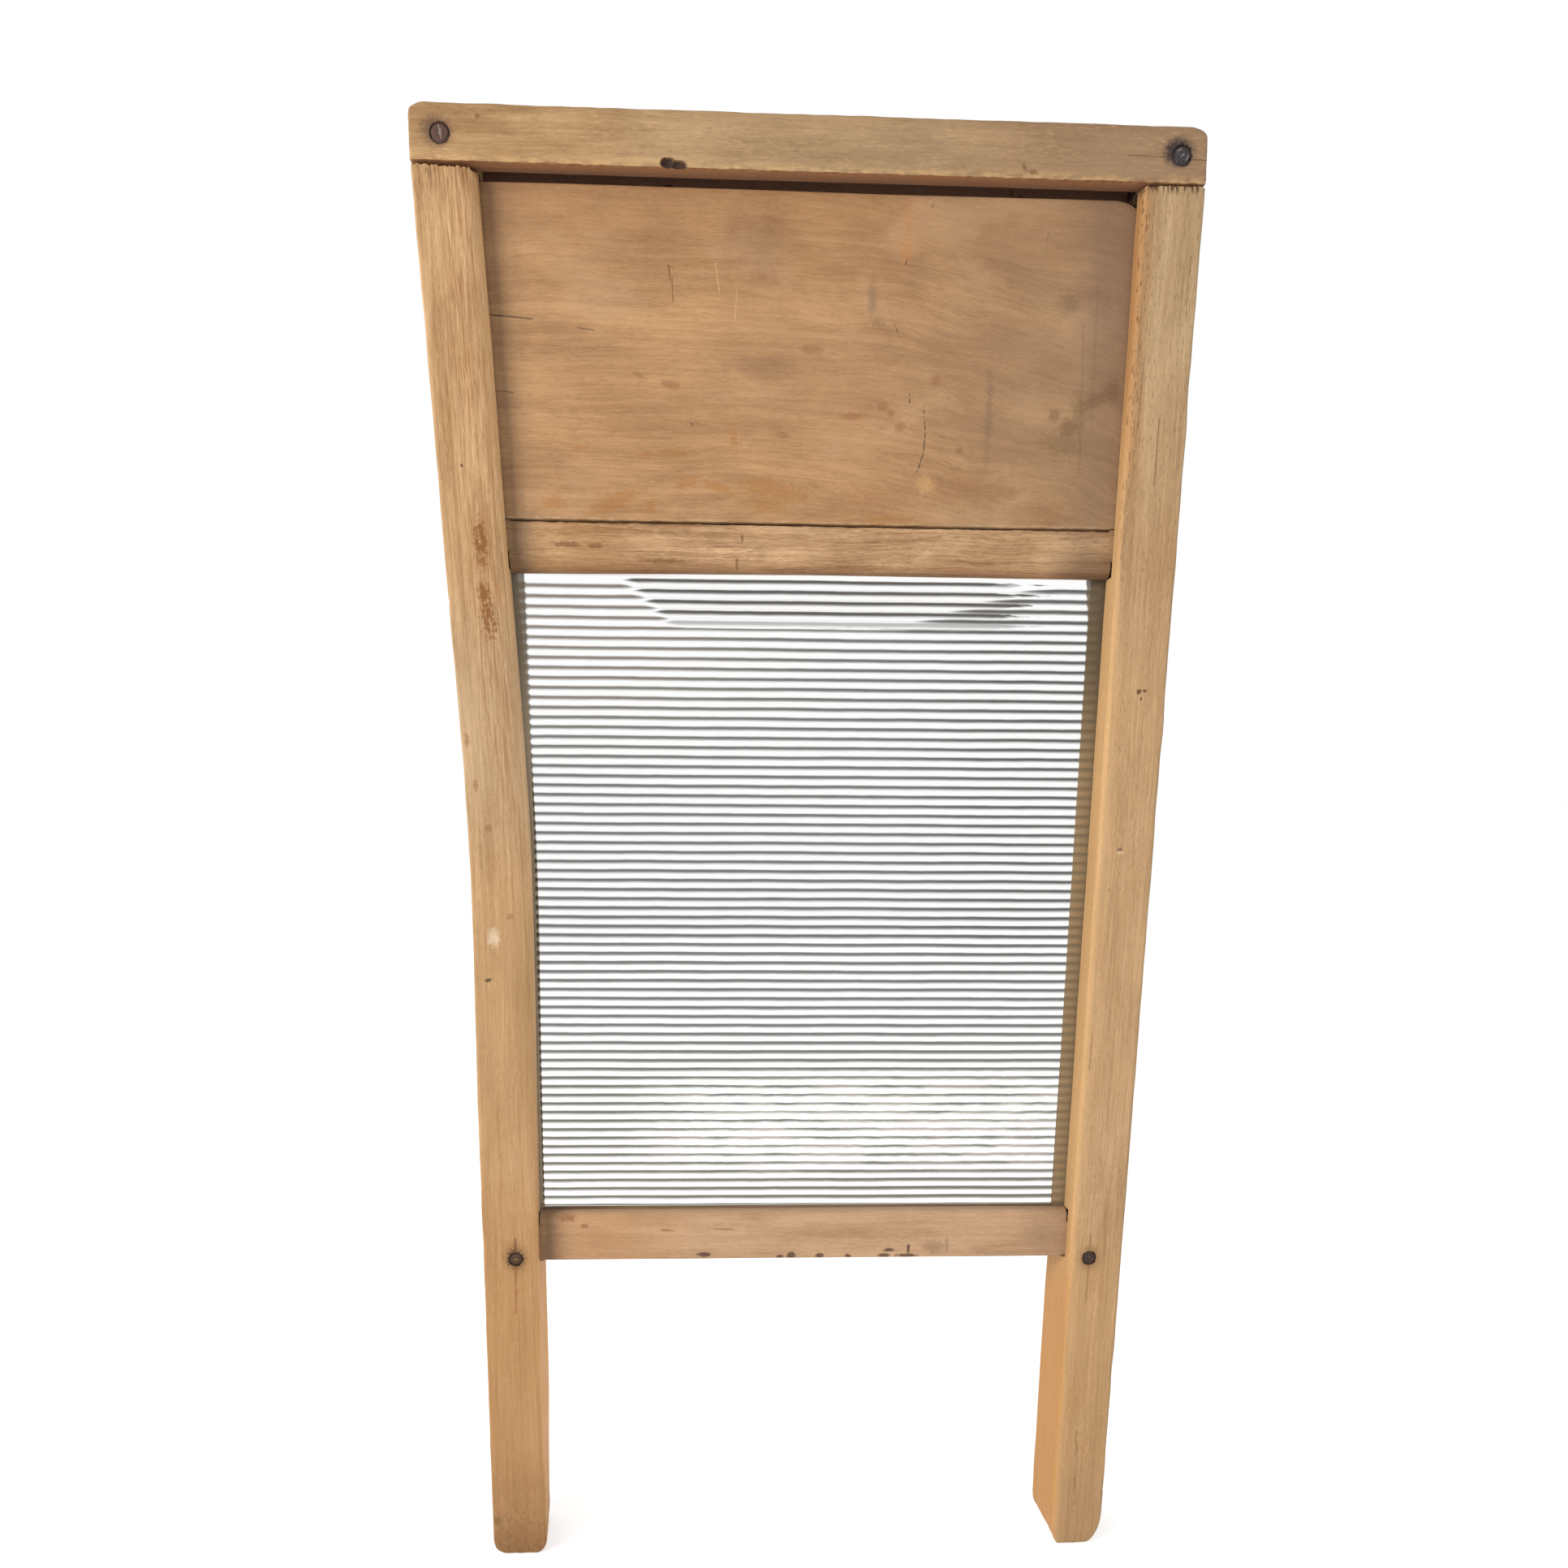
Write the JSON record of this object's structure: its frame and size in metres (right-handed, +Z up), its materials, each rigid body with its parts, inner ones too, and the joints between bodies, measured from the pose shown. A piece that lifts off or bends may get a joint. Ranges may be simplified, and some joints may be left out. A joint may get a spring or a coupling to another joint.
{
  "type": "washboard",
  "caption": "Household washboard: grooved wooden frame on two legs, with a soap board above a ribbed clear glass rubbing panel.",
  "frame": {"origin": "on the floor between the feet, in the middle of the overall width and of the frame's depth", "axes": "+X to the right seen from the front, +Y from the front to the back, +Z up"},
  "size_m": [0.318, 0.031, 0.632],
  "materials": {
    "stile_wood": "aged bare wood, dry",
    "rail_wood": "aged bare wood, dry",
    "board_wood": "aged bare wood, water-stained",
    "panel_glass": "clear pressed, glossy",
    "nail_iron": "rusty, matt"
  },
  "bodies": {
    "root": {"left_stile": "stile_wood", "right_stile": "stile_wood", "top_rail": "rail_wood", "soap_board": "board_wood", "mid_rail": "rail_wood", "bottom_rail": "rail_wood", "glass_panel": "panel_glass", "nail_top_left": "nail_iron", "nail_top_right": "nail_iron", "nail_leg_left": "nail_iron", "nail_leg_right": "nail_iron"}
  },
  "joints": []
}
